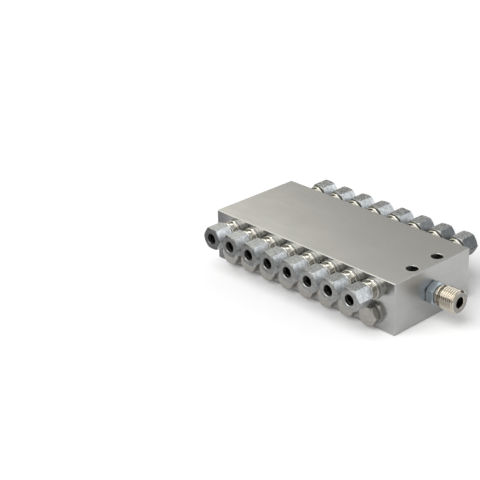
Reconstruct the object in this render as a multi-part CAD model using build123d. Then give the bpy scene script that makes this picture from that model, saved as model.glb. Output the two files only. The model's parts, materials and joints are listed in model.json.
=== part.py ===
from build123d import *
from math import radians, sqrt, tan
import os

# Progressive lubricant divider block, all sizes in millimetres.
# X runs along the block towards its inlet, Y across it, and Z up.
# The origin is the middle of the bottom face.

# Block
side_outlets = 8
outlet_pitch = 15.0
end_distance = 15.0
block_width = 60.0
block_height = 30.0
edge_chamfer = 0.4
outlet_height = 22.5
bore_height = 8.0
inlet_height = 15.0

# Mounting holes, a pair across the block beside the inlet
mount_hole_radius = 3.3
mount_hole_spacing = 20.0
mount_hole_inset = 6.0
mount_hole_chamfer = 0.12

# Metering bores and pistons
bore_radius = 3.25
piston_clearance = 0.05
piston_stroke = 6.0
stop_gap = 0.1
piston_groove_radius = 2.2
piston_groove_width = 5.0
piston_end_land = 8.0
balance_groove_depth = 0.3
balance_groove_width = 0.5
piston_chamfer = 0.4

# Drilled passages
outlet_port_radius = 5.0
outlet_port_depth = 10.0
plug_port_radius = 4.75
plug_port_depth = 8.0
inlet_port_radius = 4.9
inlet_port_depth = 10.5
gallery_radius = 4.4
outlet_drill_radius = 1.5
outlet_drill_reach = 9.0
cross_drill_radius = 1.25
cross_drill_reach = 6.5
drill_margin = 0.5

# Clearance between a thread's two halves, and between cones that seal
thread_clearance = 0.1
cone_clearance = 0.05

# Outlet tube fitting, measured outwards from the side face
tube_radius = 3.0
tube_clearance = 0.1
seal_radius = 6.0
seal_thickness = 0.8
collar_radius = 5.8
collar_width = 1.8
collar_round = 0.6
waist_radius = 4.8
waist_width = 2.8
shoulder_radius = 5.7
shoulder_width = 1.6
stub_length = 8.5
stub_chamfer = 0.7
undercut_depth = 0.6
undercut_width = 1.2
body_bore_radius = 2.0
nose_length = 6.4
nose_lip = 0.8
cone_half_angle = 12.0
tube_stop_depth = 7.0

# Hexagon bar that the nuts, plugs and adapter are turned from
hex_corner_round = 0.3
hex_chamfer_angle = 30.0
hex_chamfer_margin = 0.5

# Union nut
nut_gap = 0.4
nut_flats = 12.0
nut_length = 11.0
nut_front_rim = 5.5
nut_back_rim = 5.8
nut_lip = 2.0
nut_cone_angle = 45.0
nut_bore_chamfer = 0.3
front_nut_turns = (0, -5, -5, -4, -3, -1, 0, 0)
back_nut_turns = (4, 2, 0, -3, 3, 0, -2, 1)

# Cutting ring
ring_collar_radius = 4.35
ring_tip_depth = 2.2
ring_tail = 0.25

# Closure plug of a metering bore
washer_radius = 6.5
washer_thickness = 1.0
plug_flats = 11.0
plug_head = 4.0
plug_rim = 5.1
plug_shank = 7.0
plug_chamfer = 0.5
front_plug_turns = (0, 0, 0, 0, 0, 0, 0, 0)
back_plug_turns = (0, 0, 0, 0, 0, 0, 0, 0)

# Inlet adapter, measured outwards from the end face
inlet_flats = 12.0
inlet_hex_length = 4.8
inlet_hex_rim = 5.6
inlet_hex_turn = 30.0
inlet_stub_length = 9.0
inlet_bore_radius = 3.05
inlet_relief_radius = 5.0
inlet_relief_width = 0.9
inlet_ring_radius = 6.0
inlet_ring_width = 1.4
inlet_thread_radius = 6.58
inlet_thread_start = 7.9
inlet_end = 18.3
inlet_end_chamfer = 1.0
inlet_bore_chamfer = 0.3

# Round seal ring in the groove of the adapter's stub
inlet_seal_section = 0.8
inlet_seal_clearance = 0.05
inlet_groove_width = 1.2

# Places worked out from the sizes above
row_length = (side_outlets - 1) * outlet_pitch
block_length = row_length + 2 * end_distance
half_length = block_length / 2
half_width = block_width / 2
outlet_places = [-row_length / 2 + outlet_pitch * i for i in range(side_outlets)]
mount_hole_x = half_length - mount_hole_inset
socket_radius = tube_radius + tube_clearance
fitting_sides = {"front": -1, "back": 1}

collar_end = seal_thickness + collar_width
waist_end = collar_end + waist_width
shoulder_end = waist_end + shoulder_width
nose_end = shoulder_end + nose_length
nose_radius = outlet_port_radius - thread_clearance
cone_mouth_radius = nose_radius - nose_lip
nut_start = shoulder_end + nut_gap
nut_end = nut_start + nut_length
nut_cavity_radius = nose_radius + thread_clearance
nut_cone_length = (nut_cavity_radius - socket_radius) / tan(radians(nut_cone_angle))
nut_cone_start = nut_end - nut_lip - nut_cone_length
chamber_half = half_width - plug_shank
piston_length = 2 * (chamber_half - stop_gap) - piston_stroke
plug_head_start = washer_thickness


def turned(points):
    """Solid of revolution about Z through (radius, height) points."""
    return revolve(make_face(Plane.XZ * Polyline(*points, close=True)), Axis.Z)


def chamfered_hex(flats, start, end, start_rim, end_rim):
    """Length of hexagon bar along Z with rounded corners, turned off to a rim at both ends."""
    section = RegularPolygon(flats / 2, 6, major_radius=False)
    section = fillet(section.vertices(), hex_corner_round)
    prism = Pos(0, 0, start) * extrude(section, end - start)
    corner = flats / sqrt(3) + hex_chamfer_margin
    slope = tan(radians(hex_chamfer_angle))
    envelope = turned([
        (0, start),
        (start_rim, start),
        (corner, start + (corner - start_rim) * slope),
        (corner, end - (corner - end_rim) * slope),
        (end_rim, end),
        (0, end),
    ])
    return prism & envelope


def side_frame(x, side, z):
    """Frame on a side face, with its Z pointing away from the block."""
    return Plane(origin=(x, side * half_width, z), x_dir=(1, 0, 0), z_dir=(0, side, 0))


def drilling(start, end, radius):
    """Straight drilled passage between two points."""
    run = Vector(*end) - Vector(*start)
    drill = Cylinder(radius, run.length, align=(Align.CENTER, Align.CENTER, Align.MIN))
    return Plane(origin=start, z_dir=run) * drill


def hole(frame, radius, depth):
    """Flat-bottomed hole sunk from the origin of a frame."""
    return frame * Cylinder(radius, depth, align=(Align.CENTER, Align.CENTER, Align.MAX))


def outlet_drilling(x, side):
    """Slanted passage from an outlet port down to its metering bore, drilled through the port."""
    mouth_z = outlet_height + outlet_port_radius - outlet_drill_radius - drill_margin
    slope = (mouth_z - bore_height) / (half_width - outlet_drill_reach)
    inside = half_width - outlet_port_depth + drill_margin
    start = (x, side * inside, mouth_z - slope * (half_width - inside))
    end = (x, side * outlet_drill_reach, bore_height)
    return drilling(start, end, outlet_drill_radius)


def cross_drilling(x, side):
    """Slanted passage from a bore's end chamber to the middle of the bore before it."""
    mouth_x = x + plug_port_radius - cross_drill_radius - drill_margin
    land_x = x - outlet_pitch
    slope = (mouth_x - land_x) / (half_width - cross_drill_reach)
    inside = half_width - plug_port_depth + drill_margin
    start = (mouth_x - slope * (half_width - inside), side * inside, bore_height)
    end = (land_x, side * cross_drill_reach, bore_height)
    return drilling(start, end, cross_drill_radius)


def make_block():
    """Machined block with its ports, metering bores, gallery and mounting holes."""
    body = Pos(0, 0, block_height / 2) * Box(block_length, block_width, block_height)
    body = chamfer(body.edges(), edge_chamfer)

    cuts = []
    for x in outlet_places:
        cuts.append(Pos(x, 0, bore_height) * Rot(90, 0, 0) * Cylinder(bore_radius, block_width))
        for side in fitting_sides.values():
            cuts.append(hole(side_frame(x, side, outlet_height), outlet_port_radius, outlet_port_depth))
            cuts.append(hole(side_frame(x, side, bore_height), plug_port_radius, plug_port_depth))
            cuts.append(outlet_drilling(x, side))
            if x > outlet_places[0]:
                cuts.append(cross_drilling(x, side))

    inlet_frame = Plane(origin=(half_length, 0, inlet_height), z_dir=(1, 0, 0))
    cuts.append(hole(inlet_frame, inlet_port_radius, inlet_port_depth))
    cuts.append(hole(inlet_frame, gallery_radius, half_length - outlet_places[0] + bore_radius))

    flare = mount_hole_radius + mount_hole_chamfer
    for y in (-mount_hole_spacing / 2, mount_hole_spacing / 2):
        cuts.append(Pos(mount_hole_x, y, 0) * turned([
            (0, 0),
            (flare, 0),
            (mount_hole_radius, mount_hole_chamfer),
            (mount_hole_radius, block_height - mount_hole_chamfer),
            (flare, block_height),
            (0, block_height),
        ]))
    return body - cuts


def make_piston():
    """Spool with two wide grooves between three lands, and fine balance grooves in the end lands."""
    radius = bore_radius - piston_clearance
    half = piston_length / 2
    fine = radius - balance_groove_depth
    step = piston_end_land / 3
    end_half = [(0, half), (radius - piston_chamfer, half), (radius, half - piston_chamfer)]
    for k in (1, 2):
        middle = half - k * step
        end_half += [
            (radius, middle + balance_groove_width / 2),
            (fine, middle + balance_groove_width / 2),
            (fine, middle - balance_groove_width / 2),
            (radius, middle - balance_groove_width / 2),
        ]
    groove_top = half - piston_end_land
    end_half += [
        (radius, groove_top),
        (piston_groove_radius, groove_top),
        (piston_groove_radius, groove_top - piston_groove_width),
        (radius, groove_top - piston_groove_width),
    ]
    other_half = [(r, -h) for r, h in reversed(end_half)]
    return turned(end_half + other_half)


def make_outlet_body():
    """Stud body: threaded stub, collar, waist, shoulder and threaded nose with its cone."""
    cone_length = (cone_mouth_radius - socket_radius) / tan(radians(cone_half_angle))
    body = turned([
        (body_bore_radius, -stub_length),
        (nose_radius - stub_chamfer, -stub_length),
        (nose_radius, stub_chamfer - stub_length),
        (nose_radius, -undercut_width),
        (nose_radius - undercut_depth, -undercut_width),
        (nose_radius - undercut_depth, seal_thickness),
        (collar_radius, seal_thickness),
        (collar_radius, collar_end),
        (waist_radius, collar_end),
        (waist_radius, waist_end),
        (shoulder_radius, waist_end),
        (shoulder_radius, shoulder_end),
        (nose_radius, shoulder_end),
        (nose_radius, nose_end),
        (cone_mouth_radius, nose_end),
        (socket_radius, nose_end - cone_length),
        (socket_radius, nose_end - tube_stop_depth),
        (body_bore_radius, nose_end - tube_stop_depth),
    ])
    heights = [round(h, 3) for h in (seal_thickness, collar_end, waist_end, shoulder_end)]
    rims = [rim for rim in body.edges().filter_by(GeomType.CIRCLE)
            if rim.radius > nose_radius and round(rim.center().Z, 3) in heights]
    return fillet(rims, collar_round)


def make_union_nut():
    """Hexagonal nut, open at the back for the nose and bored at the front for the tube."""
    shell = chamfered_hex(nut_flats, nut_start, nut_end, nut_back_rim, nut_front_rim)
    cavity = turned([
        (0, nut_start),
        (nut_cavity_radius, nut_start),
        (nut_cavity_radius, nut_cone_start),
        (socket_radius, nut_cone_start + nut_cone_length),
        (socket_radius, nut_end - nut_bore_chamfer),
        (socket_radius + nut_bore_chamfer, nut_end),
        (0, nut_end),
    ])
    return shell - cavity


def make_cutting_ring():
    """Ring whose tip lies in the body's cone and whose back lies in the nut's cone."""
    slope = tan(radians(cone_half_angle))
    mouth = cone_mouth_radius - cone_clearance
    back = nut_cone_start + (nut_cavity_radius - cone_clearance - ring_collar_radius)
    tail_radius = socket_radius + ring_tail
    tail = back + (ring_collar_radius - tail_radius)
    return turned([
        (socket_radius, nose_end - ring_tip_depth),
        (mouth - ring_tip_depth * slope, nose_end - ring_tip_depth),
        (mouth, nose_end),
        (mouth, nose_end + cone_clearance),
        (ring_collar_radius, nose_end + cone_clearance),
        (ring_collar_radius, back),
        (tail_radius, tail),
        (socket_radius, tail),
    ])


def make_outlet_seal():
    """Flat seal ring between the side face and the body's collar."""
    return turned([
        (nose_radius + thread_clearance, 0),
        (seal_radius, 0),
        (seal_radius, seal_thickness),
        (nose_radius + thread_clearance, seal_thickness),
    ])


def make_plug():
    """Hexagon-head screw plug whose shank end is the piston's stop."""
    shank_radius = plug_port_radius - thread_clearance
    head = chamfered_hex(plug_flats, plug_head_start, plug_head_start + plug_head, plug_rim, plug_rim)
    shank = turned([
        (0, -plug_shank),
        (shank_radius - plug_chamfer, -plug_shank),
        (shank_radius, plug_chamfer - plug_shank),
        (shank_radius, plug_head_start),
        (0, plug_head_start),
    ])
    return head + shank


def make_washer():
    """Seal washer under a plug's head."""
    return turned([
        (plug_port_radius, 0),
        (washer_radius, 0),
        (washer_radius, washer_thickness),
        (plug_port_radius, washer_thickness),
    ])


def make_inlet_adapter():
    """Adapter with a threaded stub, a hexagon, a ring and a larger male thread for the feed line."""
    stub_radius = inlet_port_radius - thread_clearance
    groove_radius = inlet_port_radius - inlet_seal_section - 2 * inlet_seal_clearance
    ring_start = inlet_hex_length + inlet_relief_width
    ring_end = ring_start + inlet_ring_width
    hexagon = Rot(0, 0, inlet_hex_turn) * chamfered_hex(
        inlet_flats, 0, inlet_hex_length, inlet_hex_rim, inlet_hex_rim)
    stem = turned([
        (0, -inlet_stub_length),
        (stub_radius - stub_chamfer, -inlet_stub_length),
        (stub_radius, stub_chamfer - inlet_stub_length),
        (stub_radius, -inlet_groove_width),
        (groove_radius, -inlet_groove_width),
        (groove_radius, 0),
        (inlet_relief_radius, 0),
        (inlet_relief_radius, ring_start),
        (inlet_ring_radius, ring_start),
        (inlet_ring_radius, ring_end),
        (inlet_relief_radius, ring_end),
        (inlet_relief_radius, inlet_thread_start),
        (inlet_thread_radius, inlet_thread_start + inlet_thread_radius - inlet_relief_radius),
        (inlet_thread_radius, inlet_end - inlet_end_chamfer),
        (inlet_thread_radius - inlet_end_chamfer, inlet_end),
        (0, inlet_end),
    ])
    bore = turned([
        (0, -inlet_stub_length),
        (inlet_bore_radius, -inlet_stub_length),
        (inlet_bore_radius, inlet_end - inlet_bore_chamfer),
        (inlet_bore_radius + inlet_bore_chamfer, inlet_end),
        (0, inlet_end),
    ])
    return hexagon + stem - bore


def make_inlet_seal():
    """Round seal ring between the groove of the adapter's stub and the wall of the port."""
    middle = inlet_port_radius - inlet_seal_clearance - inlet_seal_section / 2
    return Pos(0, 0, -inlet_groove_width / 2) * Torus(middle, inlet_seal_section / 2)


def save(shape, node):
    """Write one node's solids under the node's name."""
    export_step(shape, f"parts/{node}.step")


def main():
    os.makedirs("parts", exist_ok=True)
    save(make_block(), "divider_block")

    inlet_frame = Plane(origin=(half_length, 0, inlet_height), x_dir=(0, 1, 0), z_dir=(1, 0, 0))
    save(inlet_frame * make_inlet_adapter(), "inlet_adapter")
    save(inlet_frame * make_inlet_seal(), "inlet_seal_ring")

    piston = make_piston()
    for number, x in enumerate(outlet_places, 1):
        rest_y = piston_stroke / 2
        save(Pos(x, rest_y, bore_height) * Rot(-90, 0, 0) * piston, f"piston_{number}")

    body = make_outlet_body()
    nut = make_union_nut()
    seal = make_outlet_seal()
    ring = make_cutting_ring()
    plug = make_plug()
    washer = make_washer()
    nut_turns = {"front": front_nut_turns, "back": back_nut_turns}
    plug_turns = {"front": front_plug_turns, "back": back_plug_turns}
    for name, side in fitting_sides.items():
        groups = {"outlet_seals": [], "cutting_rings": [], "bore_plugs": [], "plug_washers": []}
        for index, x in enumerate(outlet_places):
            outlet = side_frame(x, side, outlet_height)
            closure = side_frame(x, side, bore_height)
            nut_turn = nut_turns[name][index % len(nut_turns[name])]
            plug_turn = plug_turns[name][index % len(plug_turns[name])]
            save(outlet * body, f"{name}_outlet_body_{index + 1}")
            save(outlet * (Rot(0, 0, nut_turn) * nut), f"{name}_union_nut_{index + 1}")
            groups["outlet_seals"].append(outlet * seal)
            groups["cutting_rings"].append(outlet * ring)
            groups["bore_plugs"].append(closure * (Rot(0, 0, plug_turn) * plug))
            groups["plug_washers"].append(closure * washer)
        for group, pieces in groups.items():
            save(Compound(children=pieces), f"{name}_{group}")


main()
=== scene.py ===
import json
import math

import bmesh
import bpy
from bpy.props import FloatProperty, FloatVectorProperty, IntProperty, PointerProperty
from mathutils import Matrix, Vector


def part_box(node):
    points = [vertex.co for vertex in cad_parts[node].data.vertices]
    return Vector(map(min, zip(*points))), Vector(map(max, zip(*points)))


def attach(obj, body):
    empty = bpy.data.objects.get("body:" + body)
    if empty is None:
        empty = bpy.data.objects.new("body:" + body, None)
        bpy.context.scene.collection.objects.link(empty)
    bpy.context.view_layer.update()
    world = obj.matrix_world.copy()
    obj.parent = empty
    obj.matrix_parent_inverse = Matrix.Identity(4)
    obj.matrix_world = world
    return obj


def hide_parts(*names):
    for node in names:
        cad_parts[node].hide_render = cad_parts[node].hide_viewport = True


bl_info = {
    "name": "Lubricant divider block",
    "version": (1, 0, 0),
    "blender": (4, 5, 0),
    "location": "View3D > Sidebar > Divider Block",
    "description": "Dresses a progressive lubricant divider block in its plated and turned finishes",
    "category": "Object",
}

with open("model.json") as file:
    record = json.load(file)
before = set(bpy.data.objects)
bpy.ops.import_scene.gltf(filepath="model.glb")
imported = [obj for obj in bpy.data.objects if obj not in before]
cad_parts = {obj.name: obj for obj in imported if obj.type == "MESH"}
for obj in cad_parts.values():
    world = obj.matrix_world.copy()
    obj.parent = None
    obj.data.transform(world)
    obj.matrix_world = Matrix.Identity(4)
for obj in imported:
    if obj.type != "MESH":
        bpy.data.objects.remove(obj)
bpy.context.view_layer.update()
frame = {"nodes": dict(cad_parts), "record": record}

MM = 0.001
BODY = "block"
OUTLETS_A_SIDE = 8
WHITE = (1, 1, 1)

# Axes along the block, which its ends look along, and across it, which its outlets point along
ALONG, ACROSS = (1, 0, 0), (0, 1, 0)

# Angle from the middle of a hexagon's flat to its corner
HALF_FLAT = math.pi / 6

# Bend at a mesh edge above which it is crisp, and the gap below which two points are one
CREASE_ANGLE = math.radians(35)
MERGE_DISTANCE = 0.0001 * MM

# Range that most values of a noise pattern fall in
GRAIN_LOW, GRAIN_HIGH = 0.3, 0.7

# Cell length in millimetres along which a pattern is the same all over a piece
EVEN = 1000.0

# Places of the Mix node's colour sockets, because its number sockets have the same names
SHARE, FIRST, SECOND, MIXED = 0, 6, 7, 2


# Settings

def linear(code):
    """Linear colour of an sRGB hex code."""
    parts = [int(code[i:i + 2], 16) / 255 for i in (1, 3, 5)]
    return [p / 12.92 if p <= 0.04045 else ((p + 0.055) / 1.055) ** 2.4 for p in parts]


def colour_property(label, about, code):
    """Colour setting with its default given as an sRGB hex code."""
    return FloatVectorProperty(name=label, description=about, subtype="COLOR", size=3, min=0, max=1,
                               default=linear(code))


def length_property(label, about, millimetres):
    """Length setting with its default given in millimetres."""
    return FloatProperty(name=label, description=about, subtype="DISTANCE", unit="LENGTH", precision=5,
                         default=millimetres * MM)


def angle_property(label, about, degrees):
    """Angle setting with its default given in degrees."""
    return FloatProperty(name=label, description=about, subtype="ANGLE", default=math.radians(degrees))


def turns_property(label, about, degrees):
    """One angle setting for each nut of a row, with its defaults given in degrees."""
    return FloatVectorProperty(name=label, description=about, unit="ROTATION", size=OUTLETS_A_SIDE,
                               default=[math.radians(turn) for turn in degrees])


def shares_property(label, about, shares):
    """One setting between nought and one for each nut of a row."""
    return FloatVectorProperty(name=label, description=about, size=OUTLETS_A_SIDE, min=0, max=1,
                               default=shares)


def factor_property(label, about, value):
    """Setting between nought and one."""
    return FloatProperty(name=label, description=about, subtype="FACTOR", min=0, max=1, default=value)


def count_property(label, about, count):
    """Setting for a number of mesh steps."""
    return IntProperty(name=label, description=about, min=1, default=count)


class DividerBarSettings(bpy.types.PropertyGroup):
    """Hexagon bar stock that the nuts, plugs and adapter are turned from."""

    corner_round: length_property("Corner round", "Radius of the bar's drawn corners", 0.3)
    chamfer_angle: angle_property("Chamfer angle", "Slope of the turned chamfers to the faces", 30)
    edge_soften: length_property("Edge softening", "Radius that tumbling leaves on turned edges", 0.12)
    flat_steps: count_property("Flat steps", "Mesh steps across each flat", 10)
    corner_steps: count_property("Corner steps", "Mesh steps round each corner", 3)


class DividerNutSettings(bpy.types.PropertyGroup):
    """Union nut of an outlet."""

    flats: length_property("Flats", "Width across the flats", 12.0)
    front_rim: length_property("Front rim", "Radius where the front chamfer starts", 5.5)
    back_rim: length_property("Back rim", "Radius where the back chamfer starts", 5.8)
    cavity: length_property("Cavity", "Radius of the threaded cavity", 5.0)
    bore: length_property("Bore", "Radius of the bore that the tube passes", 3.1)
    lip: length_property("Lip", "Length of the bore in front of the cone", 2.0)
    mouth: length_property("Mouth chamfer", "Chamfer at the bore's mouth", 0.3)


class DividerNutRowSettings(bpy.types.PropertyGroup):
    """Turn, stains and painted shade of each union nut, in two rows that both start away from the inlet."""

    front_turns: turns_property(
        "Front turns", "Turn of each front nut from a flat on top",
        (0, -5, -5, -4, -3, -1, 0, 0))
    # Stains on the upper flats, partly real stains and partly painted shade that dims the tops
    front_stains_and_shade: shares_property(
        "Front stains", "Dark stains on each front nut's upper flats",
        (0.45, 0.54, 0.62, 0.66, 0.62, 0.68, 0.71, 0.72))
    front_patches: shares_property(
        "Front patches", "How far each front nut's stains break up in patches",
        (0.3,) * OUTLETS_A_SIDE)
    # Painted shade on each front nut's end, deepening away from the inlet
    front_painted_end_shades: shares_property(
        "Front dulls", "Dulling of each front nut's end",
        (0.65, 0.45, 0.4, 0.3, 0.2, 0.1, 0.1, 0.05))
    # Painted shade on each front nut's flats towards the inlet, here none
    front_painted_shades: shares_property(
        "Front shades", "Dulling of each front nut's flats towards the inlet",
        (0.0,) * OUTLETS_A_SIDE)
    back_turns: turns_property(
        "Back turns", "Turn of each back nut from a flat on top",
        (4, 2, 0, -3, 3, 0, -2, 1))
    # Stains on the upper flats, partly real stains and partly painted shade that dims the tops
    back_stains_and_shade: shares_property(
        "Back stains", "Dark stains on each back nut's upper flats",
        (0.91, 0.91, 0.86, 0.76, 0.95, 0.83, 0.77, 0.79))
    back_patches: shares_property(
        "Back patches", "How far each back nut's stains break up in patches",
        (0.6,) * OUTLETS_A_SIDE)
    # An even darkening of each back nut's end
    back_end_darkening: shares_property(
        "Back dulls", "Dulling of each back nut's end",
        (0.2,) * OUTLETS_A_SIDE)
    # Painted shade on each back nut's flats towards the inlet, deepest near the inlet
    back_painted_shades: shares_property(
        "Back shades", "Dulling of each back nut's flats towards the inlet",
        (0.2, 0.25, 0.3, 0.3, 0.5, 0.9, 1.0, 1.0))


class DividerPlugSettings(bpy.types.PropertyGroup):
    """Closure plug of a metering bore."""

    flats: length_property("Flats", "Width across the flats", 11.0)
    rim: length_property("Rim", "Radius where the head's chamfers start", 5.1)
    head: length_property("Head", "Length of the hexagon head", 4.0)
    shank: length_property("Shank", "Radius of the shank", 4.65)
    shank_chamfer: length_property("Shank chamfer", "Chamfer at the shank's end", 0.5)


class DividerAdapterSettings(bpy.types.PropertyGroup):
    """Inlet adapter, measured outwards from the end face."""

    flats: length_property("Flats", "Width across the flats", 12.0)
    hex_length: length_property("Hexagon", "Length of the hexagon", 4.8)
    hex_rim: length_property("Hexagon rim", "Radius where the hexagon's chamfers start", 5.6)
    stub: length_property("Stub", "Radius of the stub in the inlet port", 4.8)
    stub_chamfer: length_property("Stub chamfer", "Chamfer at the stub's end", 0.7)
    groove: length_property("Seal groove", "Radius of the seal ring's groove", 4.0)
    groove_width: length_property("Seal groove width", "Width of the seal ring's groove", 1.2)
    bore: length_property("Bore", "Radius of the through bore", 3.05)
    mouth: length_property("Mouth chamfer", "Chamfer at the bore's mouth", 0.3)
    relief: length_property("Relief", "Radius of the narrow reliefs beside the ring", 5.0)
    relief_width: length_property("Relief width", "Width of the relief at the hexagon", 0.9)
    ring: length_property("Ring", "Radius of the ring", 6.0)
    ring_width: length_property("Ring width", "Width of the ring", 1.4)
    thread_start: length_property("Thread start", "Where the thread's run-in begins", 7.9)
    thread_radius: length_property("Thread", "Outer radius of the thread", 6.58)
    thread_pitch: length_property("Pitch", "Distance from crest to crest", 1.337)
    thread_depth: length_property("Depth", "Depth from crest to root", 0.70)
    end_chamfer: length_property("End chamfer", "Chamfer at the thread's end", 1.0)
    pitch_steps: count_property("Pitch steps", "Mesh steps in one pitch", 16)


class DividerFinishSettings(bpy.types.PropertyGroup):
    """Colours and gloss of the metals."""

    block_colour: colour_property("Block", "Ground and plated steel of the block", "#AEAEAD")
    block_roughness: factor_property("Block roughness", "Roughness of the block's long faces", 0.22)
    block_end_roughness: factor_property("Block end roughness", "Roughness of the block's ends", 0.34)
    nut_colour: colour_property("Nut flats", "Zinc plating on the flats of the union nuts", "#BEC1C3")
    nut_roughness: factor_property("Nut roughness", "Roughness of the nuts' flats", 0.34)
    # The ends' darker colour is partly their turned finish and partly painted shade
    nut_end_colour: colour_property("Nut ends", "Zinc plating on the ends of the union nuts", "#929391")
    nut_end_roughness: factor_property("Nut end roughness", "Roughness of the nuts' turned ends", 0.34)
    # Also the colour of the painted shade on the block's long faces and on the nuts
    stain_and_shade_colour: colour_property("Stains", "Dark stains and dull places in the plating", "#26282A")
    body_colour: colour_property("Outlet bodies", "Bright plating of the outlet bodies", "#AFADA6")
    body_roughness: factor_property("Body roughness", "Roughness of the outlet bodies", 0.15)
    plug_colour: colour_property("Plugs", "Plating of the closure plugs", "#A3A09B")
    plug_roughness: factor_property("Plug roughness", "Roughness of the plugs", 0.38)
    nickel_colour: colour_property("Inlet thread", "Nickel plating of the inlet thread", "#BDB7AC")
    nickel_end_colour: colour_property("Inlet end", "Turned end face of the inlet thread", "#8E8B86")
    nickel_roughness: factor_property("Thread roughness", "Roughness of the inlet thread", 0.16)
    hex_colour: colour_property("Inlet hexagon", "Blue zinc plating of the inlet hexagon", "#9FA9B0")
    hex_roughness: factor_property("Hexagon roughness", "Roughness of the inlet hexagon", 0.34)
    steel_colour: colour_property("Bare steel", "Seals, washers, cutting rings and spools", "#B4B4B2")
    lapped_roughness: factor_property("Lapped roughness", "Roughness of cutting rings and spools", 0.16)
    stamped_roughness: factor_property("Stamped roughness", "Roughness of flat seals and washers", 0.42)
    rubber_colour: colour_property("Seal ring", "Black rubber of the inlet seal ring", "#17171A")
    rubber_roughness: factor_property("Seal ring roughness", "Roughness of the inlet seal ring", 0.6)


class DividerStudioSettings(bpy.types.PropertyGroup):
    """Camera, light and floor."""

    azimuth: angle_property("Azimuth", "Camera's turn from the front towards the inlet", 47.796)
    elevation: angle_property("Elevation", "Camera's height as an angle", 25.2102)
    roll: angle_property("Roll", "Camera's roll", -1.611)
    distance: length_property("Distance", "Camera's distance from the frame's origin", 766.499)
    side_shift: length_property("Side shift", "Camera's place along its own right", -55.6004)
    rise: length_property("Rise", "Camera's place along its own up", 20.5761)
    lens: FloatProperty(name="Lens", description="Focal length in millimetres", default=102.131)
    sensor: FloatProperty(name="Sensor", description="Sensor's width in millimetres", default=36)
    nearest: length_property("Nearest", "Shortest distance that the camera sees", 10)
    farthest: length_property("Farthest", "Longest distance that the camera sees", 50000)
    floor_size: length_property("Floor", "Side of the square floor", 1700)
    floor_drop: length_property("Floor drop", "Gap between the floor and the block's underside", 0.05)
    floor_colour: colour_property("Floor colour", "Matt pale floor", "#F4F4F4")
    floor_glow: factor_property("Floor glow", "Light that the floor adds where camera or gloss sees it", 0.08)
    room_strength: factor_property("Room light", "Strength of the room's even light", 0.42)
    front_strength: FloatProperty(
        name="Front light", description="Strength of the soft light in front", min=0, default=2.65)
    front_spread: angle_property("Front spread", "Angle across the soft light in front", 60)
    front_turn: angle_property("Front turn", "Turn of the soft light in front, from +X", 267)
    front_height: angle_property("Front height", "Height of the soft light in front, above the floor", 50)


SETTINGS = {
    "divider_bar": DividerBarSettings,
    "divider_nut": DividerNutSettings,
    "divider_nut_rows": DividerNutRowSettings,
    "divider_plug": DividerPlugSettings,
    "divider_adapter": DividerAdapterSettings,
    "divider_finish": DividerFinishSettings,
    "divider_studio": DividerStudioSettings,
}


# Nodes and patterns

def rgba(colour, level=1.0):
    """Opaque colour for a socket, made lighter or darker by a level."""
    return (*(level * part for part in colour), 1)


def add_node(tree, kind, inputs=None, **settings):
    """Adds a node, sets its properties, and links or sets its inputs."""
    node = tree.nodes.new(kind)
    for key, value in settings.items():
        setattr(node, key, value)
    for key, value in (inputs or {}).items():
        if isinstance(value, bpy.types.NodeSocket):
            tree.links.new(value, node.inputs[key])
        else:
            node.inputs[key].default_value = value
    return node


def new_surface(name, values):
    """New material with a Principled surface whose even values stand on its own sockets."""
    material = bpy.data.materials.new(name)
    material.use_nodes = True
    surface = material.node_tree.nodes["Principled BSDF"]
    for key, value in values.items():
        surface.inputs[key].default_value = value
    return material, material.node_tree, surface


def grain(tree, cell, detail=3.0):
    """Noise whose cells measure the given millimetres along X, Y and Z, with finer grain at more detail."""
    place = add_node(tree, "ShaderNodeTexCoord").outputs["Object"]
    scale = [1 / (side * MM) for side in cell]
    placed = add_node(tree, "ShaderNodeMapping", {"Vector": place, "Scale": scale}).outputs["Vector"]
    noise = add_node(tree, "ShaderNodeTexNoise", {"Vector": placed, "Scale": 1.0, "Detail": detail})
    return noise.outputs["Fac"]


def faces_along(tree, axis, limit):
    """One where a face looks along an axis, either way, and nought elsewhere.

    The limit runs from nought, for faces that look across the axis, to one for faces straight along it.
    """
    normal = add_node(tree, "ShaderNodeNewGeometry").outputs["True Normal"]
    outward = add_node(tree, "ShaderNodeVectorMath", {0: normal, 1: axis}, operation="DOT_PRODUCT")
    facing = add_node(tree, "ShaderNodeMath", {0: outward.outputs["Value"]}, operation="ABSOLUTE")
    over = add_node(tree, "ShaderNodeMath", {0: facing.outputs[0], 1: limit}, operation="GREATER_THAN")
    return over.outputs[0]


def vary(tree, surface, pattern, roughness, colour, rougher, darker):
    """Lets a pattern swing a surface's roughness and the lightness of its colour to both sides."""
    if not isinstance(colour, bpy.types.NodeSocket):
        colour = rgba(colour)
    swing, light = (
        add_node(tree, "ShaderNodeMapRange", {
            "Value": pattern, "From Min": GRAIN_LOW, "From Max": GRAIN_HIGH,
            "To Min": low, "To Max": high}).outputs[0]
        for low, high in ((-rougher, rougher), (1 + darker, 1 - darker)))
    gloss = add_node(tree, "ShaderNodeMath", {0: roughness, 1: swing})
    tone = add_node(tree, "ShaderNodeHueSaturation", {"Value": light, "Color": colour})
    tree.links.new(gloss.outputs[0], surface.inputs["Roughness"])
    tree.links.new(tone.outputs[0], surface.inputs["Base Color"])


def emboss(tree, surface, *layers):
    """Bumps a surface by layers of (height, depth in millimetres), one over the other."""
    normal = None
    for height, depth in layers:
        bump = add_node(tree, "ShaderNodeBump", {"Height": height, "Strength": 1.0, "Distance": depth * MM})
        if normal:
            tree.links.new(normal, bump.inputs["Normal"])
        normal = bump.outputs["Normal"]
    tree.links.new(normal, surface.inputs["Normal"])


# Finishes, with their cells, gaps and depths in millimetres

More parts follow.
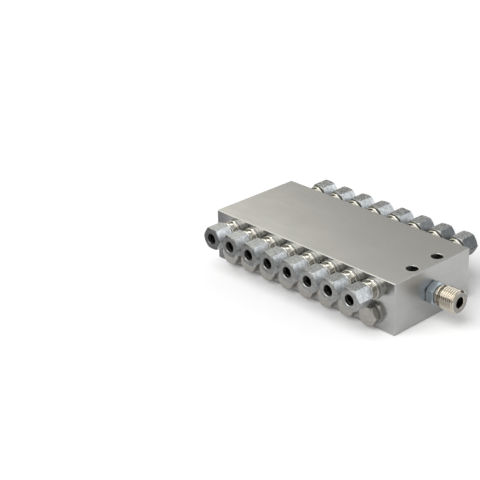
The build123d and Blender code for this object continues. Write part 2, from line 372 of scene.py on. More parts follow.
def ground_plated_steel(finish):
    """Steel surface ground and then plated: a satin sheen with faint straight scratches along each face.

    Real grinding scratches lie about 0.05 mm apart. They are drawn 0.45 mm apart so that they show.
    The long side faces carry painted shade that deepens towards the end away from the inlet.
    """
    material, tree, surface = new_surface("ground_plated_steel", {"Metallic": 1.0})
    scratch_length, scratch_gap, scratch_depth = 25.0, 0.45, 0.001
    cloud, scratch_share = 24.0, 0.4
    painted_shade_from, painted_shade_to, painted_shade_most = -45.0, -64.0, 0.65
    face_limit = 0.8
    lengthwise = grain(tree, (scratch_length, scratch_gap, scratch_gap))
    crosswise = grain(tree, (scratch_gap, scratch_length, scratch_gap))
    on_end = faces_along(tree, ALONG, face_limit)
    on_side = faces_along(tree, ACROSS, face_limit)
    scratches = add_node(tree, "ShaderNodeMix", {
        "Factor": on_end, "A": lengthwise, "B": crosswise}).outputs[0]
    gloss = add_node(tree, "ShaderNodeMapRange", {
        "Value": on_end, "To Min": finish.block_roughness, "To Max": finish.block_end_roughness}).outputs[0]
    place = add_node(tree, "ShaderNodeTexCoord").outputs["Object"]
    along = add_node(tree, "ShaderNodeSeparateXYZ", {0: place}).outputs["X"]
    # Painted shade: the long side faces darken towards the end away from the inlet
    far_end = add_node(tree, "ShaderNodeMapRange", {
        "Value": along, "From Min": painted_shade_from * MM, "From Max": painted_shade_to * MM, "To Max": painted_shade_most}).outputs[0]
    darkening = add_node(tree, "ShaderNodeMath", {0: far_end, 1: on_side}, operation="MULTIPLY").outputs[0]
    colour = add_node(tree, "ShaderNodeMix", {
        SHARE: darkening, FIRST: rgba(finish.block_colour), SECOND: rgba(finish.stain_and_shade_colour)},
        data_type="RGBA").outputs[MIXED]
    pattern = add_node(tree, "ShaderNodeMix", {
        "Factor": scratch_share, "A": grain(tree, (cloud,) * 3), "B": scratches}).outputs[0]
    vary(tree, surface, pattern, gloss, colour, rougher=0.02, darker=0.12)
    emboss(tree, surface, (scratches, scratch_depth))
    return material


def satin_zinc_plate(finish):
    """Zinc plated and tumbled steel: a soft bluish sheen, blotchy, with faint turning rings, dark stains and
    painted shade.

    The rings follow a turning feed of 0.22 mm. Each nut carries its own stains on the upper flats, partly
    real stains and partly painted shade, its own darkening of the end, which is painted shade on the front
    row, and painted shade on the flats towards the inlet.
    """
    material, tree, surface = new_surface("satin_zinc_plate", {"Metallic": 1.0})
    ring_gap, ring_depth = 0.22, 0.004
    blotch, blotch_depth = 1.4, 0.007
    spot, spot_low, spot_high = 1.1, 0.38, 0.62
    end_limit = 0.3
    own = {name: add_node(tree, "ShaderNodeAttribute", attribute_name=name).outputs["Fac"]
           for name in ("radius", "stain", "patches", "darkening", "painted_shade")}
    rings = add_node(tree, "ShaderNodeTexNoise", {
        "W": own["radius"], "Scale": 1 / (ring_gap * MM), "Detail": 1.0},
        noise_dimensions="1D").outputs["Fac"]
    blotches = grain(tree, (blotch,) * 3, detail=5.0)
    on_end = faces_along(tree, ACROSS, end_limit)
    gloss = add_node(tree, "ShaderNodeMapRange", {
        "Value": on_end, "To Min": finish.nut_roughness, "To Max": finish.nut_end_roughness}).outputs[0]
    clean = add_node(tree, "ShaderNodeMix", {
        SHARE: on_end, FIRST: rgba(finish.nut_colour), SECOND: rgba(finish.nut_end_colour)},
        data_type="RGBA").outputs[MIXED]
    faintest = add_node(tree, "ShaderNodeMath", {0: 1.0, 1: own["patches"]}, operation="SUBTRACT").outputs[0]
    spots = add_node(tree, "ShaderNodeMapRange", {
        "Value": grain(tree, (spot,) * 3, detail=6.0), "From Min": spot_low, "From Max": spot_high,
        "To Min": faintest}).outputs[0]
    normal = add_node(tree, "ShaderNodeNewGeometry").outputs["True Normal"]
    facing = add_node(tree, "ShaderNodeSeparateXYZ", {0: normal}).outputs
    # Stains on the upper flats: partly real stains, partly painted shade that dims the tops
    spotted = add_node(tree, "ShaderNodeMath", {0: own["stain"], 1: spots}, operation="MULTIPLY").outputs[0]
    on_top = add_node(tree, "ShaderNodeMath", {0: facing["Z"], 1: spotted}, operation="MULTIPLY").outputs[0]
    # Painted shade on the flats that look towards the inlet
    on_side = add_node(tree, "ShaderNodeMath", {
        0: facing["X"], 1: own["painted_shade"]}, operation="MULTIPLY").outputs[0]
    on_flats = add_node(tree, "ShaderNodeMath", {0: on_top, 1: on_side}, operation="MAXIMUM").outputs[0]
    # The ends take their own darkening, which on the front row is painted shade
    stains_and_shade = add_node(tree, "ShaderNodeMix", {"Factor": on_end, "A": on_flats, "B": own["darkening"]}).outputs[0]
    colour = add_node(tree, "ShaderNodeMix", {
        SHARE: stains_and_shade, FIRST: clean, SECOND: rgba(finish.stain_and_shade_colour)}, data_type="RGBA").outputs[MIXED]
    vary(tree, surface, blotches, gloss, colour, rougher=0.06, darker=0.22)
    emboss(tree, surface, (rings, ring_depth), (blotches, blotch_depth))
    return material


def bright_turned_plate(finish):
    """Turned steel, bright plated: a warm polished look crossed by fine turning rings round its axis.

    The rings follow a turning feed of 0.12 mm.
    """
    material, tree, surface = new_surface("bright_turned_plate", {"Metallic": 1.0})
    ring_gap, ring_depth, blotch = 0.12, 0.003, 3.0
    rings = grain(tree, (EVEN, ring_gap, EVEN), detail=1.0)
    blotches = grain(tree, (blotch,) * 3)
    vary(tree, surface, blotches, finish.body_roughness, finish.body_colour, rougher=0.05, darker=0.05)
    emboss(tree, surface, (rings, ring_depth))
    return material


def dull_zinc_plate(finish):
    """Zinc plated steel that has been handled: greyer and duller than the nuts, with small stains."""
    material, tree, surface = new_surface("dull_zinc_plate", {"Metallic": 1.0})
    stain, stain_depth = 1.1, 0.01
    stains = grain(tree, (stain,) * 3, detail=6.0)
    vary(tree, surface, stains, finish.plug_roughness, finish.plug_colour, rougher=0.1, darker=0.12)
    emboss(tree, surface, (stains, stain_depth))
    return material


def bright_nickel_plate(finish):
    """Nickel plated steel: a warm bright metal whose turned faces keep the fine rings of a 0.1 mm feed."""
    material, tree, surface = new_surface("bright_nickel_plate", {"Metallic": 1.0})
    ring_gap, ring_depth, blotch = 0.1, 0.002, 2.5
    end_limit = 0.98
    rings = grain(tree, (ring_gap, EVEN, EVEN), detail=1.0)
    blotches = grain(tree, (blotch,) * 3)
    on_end = faces_along(tree, ALONG, end_limit)
    colour = add_node(tree, "ShaderNodeMix", {
        SHARE: on_end, FIRST: rgba(finish.nickel_colour), SECOND: rgba(finish.nickel_end_colour)},
        data_type="RGBA").outputs[MIXED]
    vary(tree, surface, blotches, finish.nickel_roughness, colour, rougher=0.05, darker=0.04)
    emboss(tree, surface, (rings, ring_depth))
    return material


def blue_zinc_plate(finish):
    """Blue passivated zinc on steel: a cool grey sheen, a little cloudy."""
    material, tree, surface = new_surface("blue_zinc_plate", {"Metallic": 1.0})
    cloud, cloud_depth = 2.0, 0.008
    clouds = grain(tree, (cloud,) * 3, detail=4.0)
    vary(tree, surface, clouds, finish.hex_roughness, finish.hex_colour, rougher=0.06, darker=0.06)
    emboss(tree, surface, (clouds, cloud_depth))
    return material


def lapped_steel(finish):
    """Hardened steel, lapped: an even grey shine with hair-fine rings round its axis.

    Real lapping marks lie about 0.01 mm apart. They are drawn 0.08 mm apart so that they show.
    """
    material, tree, surface = new_surface("lapped_steel", {"Metallic": 1.0})
    ring_gap, ring_depth, cloud = 0.08, 0.001, 4.0
    rings = grain(tree, (EVEN, ring_gap, EVEN), detail=1.0)
    clouds = grain(tree, (cloud,) * 3)
    vary(tree, surface, clouds, finish.lapped_roughness, finish.steel_colour, rougher=0.04, darker=0.03)
    emboss(tree, surface, (rings, ring_depth))
    return material


def stamped_steel(finish):
    """Plain soft steel punched from sheet: grey and matt, with small handling marks."""
    material, tree, surface = new_surface("stamped_steel", {"Metallic": 1.0})
    mark, mark_depth = 0.9, 0.008
    marks = grain(tree, (mark,) * 3, detail=5.0)
    vary(tree, surface, marks, finish.stamped_roughness, finish.steel_colour, rougher=0.08, darker=0.08)
    emboss(tree, surface, (marks, mark_depth))
    return material


def moulded_rubber(finish):
    """Nitrile rubber, moulded: near black, with a dull skin."""
    material, tree, surface = new_surface("moulded_rubber", {"Specular IOR Level": 0.4})
    speck, speck_depth = 0.4, 0.004
    specks = grain(tree, (speck,) * 3)
    vary(tree, surface, specks, finish.rubber_roughness, finish.rubber_colour, rougher=0.08, darker=0.15)
    emboss(tree, surface, (specks, speck_depth))
    return material


def dress(slot, material):
    """Gives one material to the CAD nodes that the packed record puts in a slot."""
    for part in frame["record"]["subparts"]:
        if part["material_slot"] == slot:
            node = frame["nodes"][part["node"]]
            for place in range(len(node.data.materials)):
                node.data.materials[place] = material


# Shapes

def hex_angles(flats, bar):
    """Angles round a hexagon bar, from the middle of a flat, close together where its corners turn."""
    inner = flats / 2 - bar.corner_round
    flat_end = math.atan2(inner * math.tan(HALF_FLAT), flats / 2)
    corner = 2 * (HALF_FLAT - flat_end)
    one_side = [flat_end * (2 * step / bar.flat_steps - 1) for step in range(bar.flat_steps)]
    one_side += [flat_end + corner * step / bar.corner_steps for step in range(bar.corner_steps)]
    return [angle + 2 * HALF_FLAT * side for side in range(6) for angle in one_side]


def hex_radius(flats, corner_round, angle):
    """Distance from a hexagon bar's axis to its surface, at an angle from the middle of a flat."""
    off_flat = abs((angle + HALF_FLAT) % (2 * HALF_FLAT) - HALF_FLAT)
    inner = flats / 2 - corner_round
    if off_flat <= math.atan2(inner * math.tan(HALF_FLAT), flats / 2):
        return flats / 2 / math.cos(off_flat)
    centre = inner / math.cos(HALF_FLAT)
    off_corner = HALF_FLAT - off_flat
    reach = math.sqrt(corner_round ** 2 - (centre * math.sin(off_corner)) ** 2)
    return centre * math.cos(off_corner) + reach


def soften(points):
    """Section line through (radius, height, soft) points, whose corners with a soft radius are short arcs."""
    line = []
    for place, (radius, height, soft) in enumerate(points):
        corner = Vector((radius, height))
        if not soft:
            line.append(corner)
            continue
        before = (Vector(points[place - 1][:2]) - corner).normalized()
        after = (Vector(points[place + 1][:2]) - corner).normalized()
        half = before.angle(after) / 2
        middle = (before + after).normalized()
        run = soft / math.tan(half)
        line.append(corner + before * run)
        line.append(corner + middle * (soft / math.sin(half) - soft))
        line.append(corner + after * run)
    return line


def swept_mesh(name, angles, first_angle, section, closed):
    """Mesh turned about Z with a section line for each angle. An open line starts and ends on the axis."""
    shape = bmesh.new()
    radius_layer = shape.verts.layers.float.new("radius")
    rings = []
    for angle in angles:
        turned = angle + first_angle
        ring = []
        for point in soften(section(angle)):
            vertex = shape.verts.new((point.x * math.cos(turned), point.x * math.sin(turned), point.y))
            vertex[radius_layer] = point.x
            ring.append(vertex)
        rings.append(ring)
    steps = len(rings[0]) if closed else len(rings[0]) - 1
    for place, ring in enumerate(rings):
        after = rings[(place + 1) % len(rings)]
        for step in range(steps):
            upper = (step + 1) % len(ring)
            shape.faces.new((ring[step], after[step], after[upper], ring[upper]))
    bmesh.ops.remove_doubles(shape, verts=shape.verts, dist=MERGE_DISTANCE)
    bmesh.ops.recalc_face_normals(shape, faces=shape.faces)
    mesh = bpy.data.meshes.new(name)
    shape.to_mesh(mesh)
    shape.free()
    return mesh


def new_tree(name, sockets):
    """Geometry tree with a geometry in and out, and named inputs of the given kinds."""
    tree = bpy.data.node_groups.new(name, "GeometryNodeTree")
    tree.interface.new_socket("Geometry", in_out="OUTPUT", socket_type="NodeSocketGeometry")
    tree.interface.new_socket("Geometry", in_out="INPUT", socket_type="NodeSocketGeometry")
    for label, kind in sockets.items():
        tree.interface.new_socket(label, in_out="INPUT", socket_type="NodeSocket" + kind)
    return tree, add_node(tree, "NodeGroupInput").outputs


def made_by(tree, obj, values):
    """Plain mesh that a geometry tree makes of an object, with the tree's named inputs set."""
    modifier = obj.modifiers.new(tree.name, "NODES")
    modifier.node_group = tree
    for item in tree.interface.items_tree:
        if item.in_out == "INPUT" and item.name in values:
            modifier[item.identifier] = values[item.name]
    bpy.context.collection.objects.link(obj)
    evaluated = obj.evaluated_get(bpy.context.evaluated_depsgraph_get())
    mesh = bpy.data.meshes.new_from_object(evaluated)
    obj.modifiers.remove(modifier)
    bpy.data.objects.remove(obj)
    return mesh


def finished_piece(name, mesh, replaced):
    """Puts a mesh in place of CAD nodes, with crisp edges and even flats, riding on the block."""
    mesh.shade_smooth()
    mesh.set_sharp_from_angle(angle=CREASE_ANGLE)
    rough = bpy.data.objects.new(name + "_rough", mesh)
    rough.modifiers.new("even_flats", "WEIGHTED_NORMAL").keep_sharp = True
    bpy.context.collection.objects.link(rough)
    evaluated = rough.evaluated_get(bpy.context.evaluated_depsgraph_get())
    piece = bpy.data.objects.new(name, bpy.data.meshes.new_from_object(evaluated))
    bpy.data.objects.remove(rough)
    bpy.context.collection.objects.link(piece)
    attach(piece, BODY)
    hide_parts(*replaced)


def side_row_tree():
    """Tree that stands a piece on each point, pointing away from the block and rolled by the point's turn."""
    tree, given = new_tree("side_row", {"Piece": "Object", "Lean": "Float", "Material": "Material"})
    place = add_node(tree, "GeometryNodeInputPosition").outputs[0]
    across = add_node(tree, "ShaderNodeSeparateXYZ", {0: place}).outputs["Y"]
    side = add_node(tree, "ShaderNodeMath", {0: across}, operation="SIGN").outputs[0]
    turn = add_node(tree, "GeometryNodeInputNamedAttribute", {"Name": "turn"}, data_type="FLOAT").outputs[0]
    lean = add_node(tree, "ShaderNodeMath", {0: side, 1: given["Lean"]}, operation="MULTIPLY").outputs[0]
    roll = add_node(tree, "ShaderNodeMath", {0: side, 1: turn}, operation="MULTIPLY").outputs[0]
    rotation = add_node(tree, "ShaderNodeCombineXYZ", {"X": lean, "Y": roll}).outputs[0]
    piece = add_node(tree, "GeometryNodeObjectInfo", {"Object": given["Piece"]}).outputs["Geometry"]
    row = add_node(tree, "GeometryNodeInstanceOnPoints", {
        "Points": given["Geometry"], "Instance": piece, "Rotation": rotation}).outputs[0]
    real = add_node(tree, "GeometryNodeRealizeInstances", {"Geometry": row}).outputs[0]
    dressed = add_node(tree, "GeometryNodeSetMaterial", {"Geometry": real, "Material": given["Material"]})
    add_node(tree, "NodeGroupOutput", {0: dressed.outputs[0]})
    return tree


def side_row(name, piece_mesh, places, material, values=None):
    """Plain mesh of one piece repeated at places on the side faces, each with named values of its own."""
    points = bpy.data.meshes.new(name + "_places")
    points.from_pydata(places, [], [])
    for value, row in (values or {}).items():
        points.attributes.new(value, "FLOAT", "POINT").data.foreach_set("value", row)
    piece = bpy.data.objects.new(name + "_piece", piece_mesh)
    bpy.context.collection.objects.link(piece)
    mesh = made_by(side_row_tree(), bpy.data.objects.new(name + "_row", points), {
        "Piece": piece, "Lean": -math.pi / 2, "Material": material})
    bpy.data.objects.remove(piece)
    return mesh


def thread_tree():
    """Tree that cuts a right-handed thread into a stem along X, and plates the stem and its hexagon."""
    sizes = ("End Face", "Axis Height", "Thread Start", "Pitch", "Outer Radius", "Depth", "Hexagon Length",
             "Relief Radius")
    tree, given = new_tree("cut_thread", {
        **{size: "Float" for size in sizes}, "Stem Material": "Material", "Hexagon Material": "Material"})
    # Half widths of a tooth and of its crest's and its root's flats, in pitches
    half_pitch, half_crest, half_root = 0.5, 0.16, 0.04
    # Slack that leaves the hexagon's end face in its own plating
    hexagon_slack = 0.01 * MM

    place = add_node(tree, "GeometryNodeInputPosition").outputs[0]
    foot = add_node(tree, "ShaderNodeCombineXYZ", {
        "X": given["End Face"], "Z": given["Axis Height"]}).outputs[0]
    from_foot = add_node(tree, "ShaderNodeVectorMath", {0: place, 1: foot}, operation="SUBTRACT").outputs[0]
    local = add_node(tree, "ShaderNodeSeparateXYZ", {0: from_foot}).outputs
    outward = add_node(tree, "ShaderNodeCombineXYZ", {"Y": local["Y"], "Z": local["Z"]}).outputs[0]
    radius = add_node(tree, "ShaderNodeVectorMath", {0: outward}, operation="LENGTH").outputs["Value"]
    angle = add_node(tree, "ShaderNodeMath", {0: local["Z"], 1: local["Y"]}, operation="ARCTAN2").outputs[0]
    turn = add_node(tree, "ShaderNodeMath", {0: angle, 1: 2 * math.pi}, operation="DIVIDE").outputs[0]
    pitches = add_node(tree, "ShaderNodeMath", {
        0: local["X"], 1: given["Pitch"]}, operation="DIVIDE").outputs[0]
    wound = add_node(tree, "ShaderNodeMath", {0: pitches, 1: turn}, operation="SUBTRACT").outputs[0]
    off_crest = add_node(tree, "ShaderNodeMath", {0: wound, 1: half_pitch}, operation="PINGPONG").outputs[0]
    tooth = add_node(tree, "ShaderNodeMapRange", {
        "Value": off_crest, "From Min": half_pitch - half_root, "From Max": half_crest}).outputs[0]
    root = add_node(tree, "ShaderNodeMath", {
        0: given["Outer Radius"], 1: given["Depth"]}, operation="SUBTRACT").outputs[0]
    surface = add_node(tree, "ShaderNodeMath", {
        0: tooth, 1: given["Depth"], 2: root}, operation="MULTIPLY_ADD").outputs[0]
    cut = add_node(tree, "ShaderNodeMath", {0: radius, 1: surface}, operation="MINIMUM").outputs[0]
    shrink = add_node(tree, "ShaderNodeMath", {0: cut, 1: radius}, operation="DIVIDE").outputs[0]
    drawn_in = add_node(tree, "ShaderNodeCombineXYZ", {"X": 1.0, "Y": shrink, "Z": shrink}).outputs[0]
    moved = add_node(tree, "ShaderNodeVectorMath", {
        0: from_foot, 1: drawn_in, 2: foot}, operation="MULTIPLY_ADD").outputs[0]
    on_thread = add_node(tree, "ShaderNodeMath", {
        0: local["X"], 1: given["Thread Start"]}, operation="GREATER_THAN").outputs[0]
    threaded = add_node(tree, "GeometryNodeSetPosition", {
        "Geometry": given["Geometry"], "Position": moved, "Selection": on_thread}).outputs[0]

    real = add_node(tree, "GeometryNodeRealizeInstances", {"Geometry": threaded}).outputs[0]
    stem = add_node(tree, "GeometryNodeSetMaterial", {
        "Geometry": real, "Material": given["Stem Material"]}).outputs[0]
    hexagon_end = add_node(tree, "ShaderNodeMath", {0: given["Hexagon Length"], 1: hexagon_slack}).outputs[0]
    before_end = add_node(tree, "ShaderNodeMath", {
        0: local["X"], 1: hexagon_end}, operation="LESS_THAN").outputs[0]
    past_relief = add_node(tree, "ShaderNodeMath", {
        0: radius, 1: given["Relief Radius"]}, operation="GREATER_THAN").outputs[0]
    on_hexagon = add_node(tree, "ShaderNodeMath", {
        0: past_relief, 1: before_end}, operation="MULTIPLY").outputs[0]
    dressed = add_node(tree, "GeometryNodeSetMaterial", {
        "Geometry": stem, "Selection": on_hexagon, "Material": given["Hexagon Material"]})
    add_node(tree, "NodeGroupOutput", {0: dressed.outputs[0]})
    return tree


# Pieces

class DIVIDER_OT_block(bpy.types.Operator):
    """Dresses the block in its ground and plated finish"""

    bl_idname = "divider.block"
    bl_label = "Block finish"

    def execute(self, context):
        dress("ground_steel", ground_plated_steel(context.scene.divider_finish))
        return {"FINISHED"}


class DIVIDER_OT_outlet_bodies(bpy.types.Operator):
    """Dresses the turned outlet bodies in their bright plating"""

    bl_idname = "divider.outlet_bodies"
    bl_label = "Outlet bodies"

    def execute(self, context):
        dress("bright_zinc", bright_turned_plate(context.scene.divider_finish))
        return {"FINISHED"}


class DIVIDER_OT_small_parts(bpy.types.Operator):
    """Dresses the seals, washers, cutting rings and spools"""

    bl_idname = "divider.small_parts"
    bl_label = "Seals, rings and spools"

    def execute(self, context):
        finish = context.scene.divider_finish
        dress("seal_steel", stamped_steel(finish))
        dress("lapped_steel", lapped_steel(finish))
        dress("black_rubber", moulded_rubber(finish))
        return {"FINISHED"}


class DIVIDER_OT_union_nuts(bpy.types.Operator):
    """Makes the hexagonal union nuts of all outlets"""

    bl_idname = "divider.union_nuts"
    bl_label = "Union nuts"

    def execute(self, context):
        bar, nut = context.scene.divider_bar, context.scene.divider_nut
        rows = context.scene.divider_nut_rows
        side_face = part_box("divider_block")[1].y
        names = [name for name in frame["nodes"] if "_union_nut_" in name]
        low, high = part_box("back_union_nut_1")
        start, end = low.y - side_face, high.y - side_face
        slope = math.tan(bar.chamfer_angle)
        soft = bar.edge_soften

        def section(angle):
            outer = hex_radius(nut.flats, bar.corner_round, angle)
            return [
                (nut.bore + nut.mouth, end, 0),
                (nut.front_rim, end, soft),
                (outer, end - (outer - nut.front_rim) * slope, soft),
                (outer, start + (outer - nut.back_rim) * slope, soft),
                (nut.back_rim, start, soft),
                (nut.cavity, start, 0),
                (nut.cavity, end - nut.lip - (nut.cavity - nut.bore), 0),
                (nut.bore, end - nut.lip, 0),
                (nut.bore, end - nut.mouth, 0),
            ]

        mesh = swept_mesh("union_nut", hex_angles(nut.flats, bar), HALF_FLAT, section, closed=True)
        looks = {
            "turn": (rows.front_turns, rows.back_turns),
            "stain": (rows.front_stains_and_shade, rows.back_stains_and_shade),
            "patches": (rows.front_patches, rows.back_patches),
            "darkening": (rows.front_painted_end_shades, rows.back_end_darkening),
            "painted_shade": (rows.front_painted_shades, rows.back_painted_shades),
        }
        places = []
        values = {look: [] for look in looks}
        for name in names:
            low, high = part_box(name)
            side = 1 if low.y > 0 else -1
            places.append(((low.x + high.x) / 2, side * side_face, (low.z + high.z) / 2))
            number = int(name.rsplit("_", 1)[1]) - 1
            for look, (front, back) in looks.items():
                values[look].append((back if side > 0 else front)[number])
        material = satin_zinc_plate(context.scene.divider_finish)
        nuts = side_row("union_nuts", mesh, places, material, values)
        finished_piece("union_nuts", nuts, names)
        return {"FINISHED"}


class DIVIDER_OT_bore_plugs(bpy.types.Operator):
    """Makes the hexagon-head closure plugs of the metering bores"""

    bl_idname = "divider.bore_plugs"
    bl_label = "Closure plugs"

    def execute(self, context):
        bar, plug = context.scene.divider_bar, context.scene.divider_plug
        side_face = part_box("divider_block")[1].y
        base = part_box("back_plug_washers")[1].y - side_face
        depth = side_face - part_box("back_bore_plugs")[0].y
        top = base + plug.head
        slope = math.tan(bar.chamfer_angle)
        soft = bar.edge_soften

        def section(angle):
            outer = hex_radius(plug.flats, bar.corner_round, angle)
            return [
                (0, top, 0),
                (plug.rim, top, soft),
                (outer, top - (outer - plug.rim) * slope, soft),
                (outer, base + (outer - plug.rim) * slope, soft),
                (plug.rim, base, 0),
                (plug.shank, base, 0),
                (plug.shank, plug.shank_chamfer - depth, 0),
                (plug.shank - plug.shank_chamfer, -depth, 0),
                (0, -depth, 0),
            ]

        mesh = swept_mesh("bore_plug", hex_angles(plug.flats, bar), HALF_FLAT, section, closed=False)
        spools = [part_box(name) for name in frame["nodes"] if name.startswith("piston_")]
        places = [((low.x + high.x) / 2, side * side_face, (low.z + high.z) / 2)
                  for side in (-1, 1) for low, high in spools]
        plugs = side_row("bore_plugs", mesh, places, dull_zinc_plate(context.scene.divider_finish))
        finished_piece("bore_plugs", plugs, ["front_bore_plugs", "back_bore_plugs"])
        return {"FINISHED"}


class DIVIDER_OT_inlet_adapter(bpy.types.Operator):
    """Makes the inlet adapter with its hexagon, ring and cut thread"""

    bl_idname = "divider.inlet_adapter"
    bl_label = "Inlet adapter"

    def execute(self, context):
        bar, part = context.scene.divider_bar, context.scene.divider_adapter
        end_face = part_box("divider_block")[1].x
        low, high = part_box("inlet_adapter")
        axis_height = (low.z + high.z) / 2
        inner_end, end = low.x - end_face, high.x - end_face
        ring_start = part.hex_length + part.relief_width
        ring_end = ring_start + part.ring_width
        slope = math.tan(bar.chamfer_angle)
        soft = bar.edge_soften
        steps = math.ceil((end - part.thread_start) / part.thread_pitch * part.pitch_steps)
        blank = []
        for step in range(1, steps):
            along = part.thread_start + (end - part.thread_start) * step / steps
            run_in = part.relief + along - part.thread_start
            run_out = part.thread_radius - part.end_chamfer + end - along
            blank.append((min(run_in, part.thread_radius, run_out), along, 0))

        def section(angle):
            outer = hex_radius(part.flats, bar.corner_round, angle)
            shoulder = (outer - part.hex_rim) * slope
            return [
                (part.bore, inner_end, 0),
                (part.stub - part.stub_chamfer, inner_end, 0),
                (part.stub, inner_end + part.stub_chamfer, 0),
                (part.stub, -part.groove_width, 0),
                (part.groove, -part.groove_width, 0),
                (part.groove, 0, 0),
                (part.hex_rim, 0, soft),
                (outer, shoulder, soft),
                (outer, part.hex_length - shoulder, soft),
                (part.hex_rim, part.hex_length, soft),
                (part.relief, part.hex_length, 0),
                (part.relief, ring_start, 0),
                (part.ring, ring_start, soft),
                (part.ring, ring_end, soft),
                (part.relief, ring_end, 0),
                (part.relief, part.thread_start, 0),
                *blank,
                (part.thread_radius - part.end_chamfer, end, 0),
                (part.bore + part.mouth, end, 0),
                (part.bore, end - part.mouth, 0),
            ]

        mesh = swept_mesh("adapter_blank", hex_angles(part.flats, bar), 0.0, section, closed=True)
        # The mesh's own Z points outwards from the end face, so it is laid along X
        mesh.transform(Matrix(((0, 0, 1, end_face), (1, 0, 0, 0), (0, 1, 0, axis_height), (0, 0, 0, 1))))
        finish = context.scene.divider_finish
        threaded = made_by(thread_tree(), bpy.data.objects.new("adapter_blank", mesh), {
            "End Face": end_face, "Axis Height": axis_height, "Thread Start": part.thread_start,
            "Pitch": part.thread_pitch, "Outer Radius": part.thread_radius, "Depth": part.thread_depth,
            "Hexagon Length": part.hex_length, "Relief Radius": part.relief,
            "Stem Material": bright_nickel_plate(finish), "Hexagon Material": blue_zinc_plate(finish)})
        finished_piece("inlet_adapter_threaded", threaded, ["inlet_adapter"])
        return {"FINISHED"}


# Studio

def towards(turn, height):
    """Direction at a turn from +X and a height above the floor."""
    return Vector((math.cos(turn) * math.cos(height), math.sin(turn) * math.cos(height), math.sin(height)))


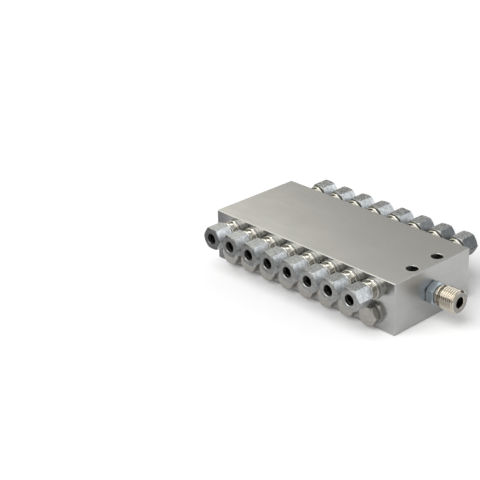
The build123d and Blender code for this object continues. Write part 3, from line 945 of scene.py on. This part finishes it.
class DIVIDER_OT_studio(bpy.types.Operator):
    """Sets the floor, the soft light and the camera round the block"""

    bl_idname = "divider.studio"
    bl_label = "Studio"

    # Soft panels seen in the metals: turn from +X, height, reach and soft edge in degrees, level, tint
    panels = (
        (90, 76, 45, 8, 0.8, "#FFFFFF"),
        (172, 45, 34, 2, 1.8, "#FFFDF3"),
        (38, 10, 25, 5, 1.9, "#FCFEFF"),
        (120, 43, 8, 2, 3.8, "#FFFDF7"),
    )
    # Walls seen in the metals: turn from +X in degrees, level
    walls = (
        (0, 0.6), (30, 0.35), (50, 0.1), (95, 0.1), (120, 0.3), (129, 0.41),
        (160, 0.57), (180, 0.57), (222, 0.3), (270, 0.4), (300, 0.7), (359, 0.7),
    )
    wall_tint = "#FFFDF5"

    def execute(self, context):
        studio = context.scene.divider_studio
        self.lay_floor(studio)
        self.light_room(context.scene, studio)
        self.light_front(studio)
        self.set_camera(context.scene, studio)
        context.scene.view_settings.view_transform = "Standard"
        return {"FINISHED"}

    def lay_floor(self, studio):
        """Matt pale floor that shows white to the camera and in the metals, and keeps the shadow."""
        half = studio.floor_size / 2
        below = -studio.floor_drop
        mesh = bpy.data.meshes.new("floor")
        corners = [(-half, -half, below), (half, -half, below), (half, half, below), (-half, half, below)]
        mesh.from_pydata(corners, [], [(0, 1, 2, 3)])
        floor = bpy.data.objects.new("floor", mesh)
        bpy.context.collection.objects.link(floor)
        material, tree, surface = new_surface("matt_paper", {
            "Base Color": rgba(studio.floor_colour), "Roughness": 1.0, "Specular IOR Level": 0.0,
            "Emission Color": rgba(WHITE)})
        rays = add_node(tree, "ShaderNodeLightPath").outputs
        seen = rays["Is Camera Ray"]
        for kind in ("Is Glossy Ray", "Is Transmission Ray"):
            seen = add_node(tree, "ShaderNodeMath", {0: seen, 1: rays[kind]}, use_clamp=True).outputs[0]
        glow = add_node(tree, "ShaderNodeMath", {0: seen, 1: studio.floor_glow}, operation="MULTIPLY")
        tree.links.new(glow.outputs[0], surface.inputs["Emission Strength"])
        mesh.materials.append(material)

    def light_room(self, scene, studio):
        """Even light, white behind the block; metals see walls that are darkest at the back, and panels."""
        world = bpy.data.worlds.new("studio_room")
        world.use_nodes = True
        scene.world = world
        tree = world.node_tree
        direction = add_node(tree, "ShaderNodeTexCoord").outputs["Generated"]
        # A radial gradient starts at -X, so the opposite direction counts the turn from +X
        opposite = add_node(tree, "ShaderNodeVectorMath", {
            0: direction, 1: (-1, -1, -1)}, operation="MULTIPLY").outputs[0]
        turned = add_node(tree, "ShaderNodeTexGradient", {"Vector": opposite}, gradient_type="RADIAL")
        walls = add_node(tree, "ShaderNodeValToRGB", {"Fac": turned.outputs["Fac"]})
        stops = walls.color_ramp.elements
        for turn, level in self.walls:
            stops.new(turn / 360).color = rgba(linear(self.wall_tint), level)
        # The gradient's own first and last stops go
        stops.remove(stops[0])
        stops.remove(stops[-1])
        metals_see = walls.outputs[0]
        for *angles, level, tint in self.panels:
            turn, height, reach, edge = (math.radians(angle) for angle in angles)
            near = add_node(tree, "ShaderNodeVectorMath", {
                0: direction, 1: towards(turn, height)}, operation="DOT_PRODUCT").outputs["Value"]
            cover = add_node(tree, "ShaderNodeMapRange", {
                "Value": near, "From Min": math.cos(reach + edge), "From Max": math.cos(reach)}).outputs[0]
            metals_see = add_node(tree, "ShaderNodeMix", {
                SHARE: cover, FIRST: metals_see, SECOND: rgba(linear(tint), level)},
                data_type="RGBA").outputs[MIXED]
        rays = add_node(tree, "ShaderNodeLightPath").outputs
        gloss = add_node(tree, "ShaderNodeMath", {
            0: rays["Is Glossy Ray"], 1: rays["Is Transmission Ray"]}, use_clamp=True).outputs[0]
        seen = rgba(WHITE, studio.room_strength)
        for kind, shown in ((gloss, metals_see), (rays["Is Camera Ray"], rgba(WHITE))):
            seen = add_node(tree, "ShaderNodeMix", {
                SHARE: kind, FIRST: seen, SECOND: shown}, data_type="RGBA").outputs[MIXED]
        tree.links.new(seen, tree.nodes["Background"].inputs["Color"])

    def light_front(self, studio):
        """Wide soft light from in front of the block, high up and a little to its left."""
        data = bpy.data.lights.new("front_light", "SUN")
        data.angle = studio.front_spread
        data.energy = studio.front_strength
        lamp = bpy.data.objects.new("front_light", data)
        source = towards(studio.front_turn, studio.front_height)
        lamp.matrix_world = source.to_track_quat("Z", "Y").to_matrix().to_4x4()
        bpy.context.collection.objects.link(lamp)

    def set_camera(self, scene, studio):
        """Camera at the photograph's viewing angle."""
        out = towards(studio.azimuth - math.pi / 2, studio.elevation)
        level = Vector((0, 0, 1)).cross(out).normalized()
        upright = out.cross(level)
        right = math.cos(studio.roll) * level + math.sin(studio.roll) * upright
        up = math.cos(studio.roll) * upright - math.sin(studio.roll) * level
        data = bpy.data.cameras.new("camera")
        data.sensor_width = studio.sensor
        data.lens = studio.lens
        data.clip_start = studio.nearest
        data.clip_end = studio.farthest
        camera = bpy.data.objects.new("camera", data)
        pose = Matrix((right, up, out)).transposed().to_4x4()
        pose.translation = right * studio.side_shift + up * studio.rise + out * studio.distance
        camera.matrix_world = pose
        bpy.context.collection.objects.link(camera)
        scene.camera = camera


OPERATORS = (
    DIVIDER_OT_studio,
    DIVIDER_OT_block,
    DIVIDER_OT_outlet_bodies,
    DIVIDER_OT_small_parts,
    DIVIDER_OT_union_nuts,
    DIVIDER_OT_bore_plugs,
    DIVIDER_OT_inlet_adapter,
)


class DIVIDER_PT_panel(bpy.types.Panel):
    """Lists the divider block's makers and their settings in the sidebar"""

    bl_label = "Divider block"
    bl_space_type = "VIEW_3D"
    bl_region_type = "UI"
    bl_category = "Divider Block"

    def draw(self, context):
        for operator in OPERATORS:
            self.layout.operator(operator.bl_idname)
        for name, settings in SETTINGS.items():
            box = self.layout.box()
            box.label(text=settings.__doc__)
            for setting in settings.__annotations__:
                box.prop(getattr(context.scene, name), setting)


def register():
    """Adds the settings, the makers and their panel."""
    for settings in SETTINGS.values():
        bpy.utils.register_class(settings)
    for name, settings in SETTINGS.items():
        setattr(bpy.types.Scene, name, PointerProperty(type=settings))
    for shown in (*OPERATORS, DIVIDER_PT_panel):
        bpy.utils.register_class(shown)


def unregister():
    """Takes away what register adds, in the opposite order."""
    for shown in (DIVIDER_PT_panel, *reversed(OPERATORS)):
        bpy.utils.unregister_class(shown)
    for name, settings in SETTINGS.items():
        delattr(bpy.types.Scene, name)
        bpy.utils.unregister_class(settings)


def main():
    """Makes the whole dressed block."""
    register()
    bpy.ops.divider.studio()
    bpy.ops.divider.block()
    bpy.ops.divider.outlet_bodies()
    bpy.ops.divider.small_parts()
    bpy.ops.divider.union_nuts()
    bpy.ops.divider.bore_plugs()
    bpy.ops.divider.inlet_adapter()


if __name__ == "__main__":
    main()
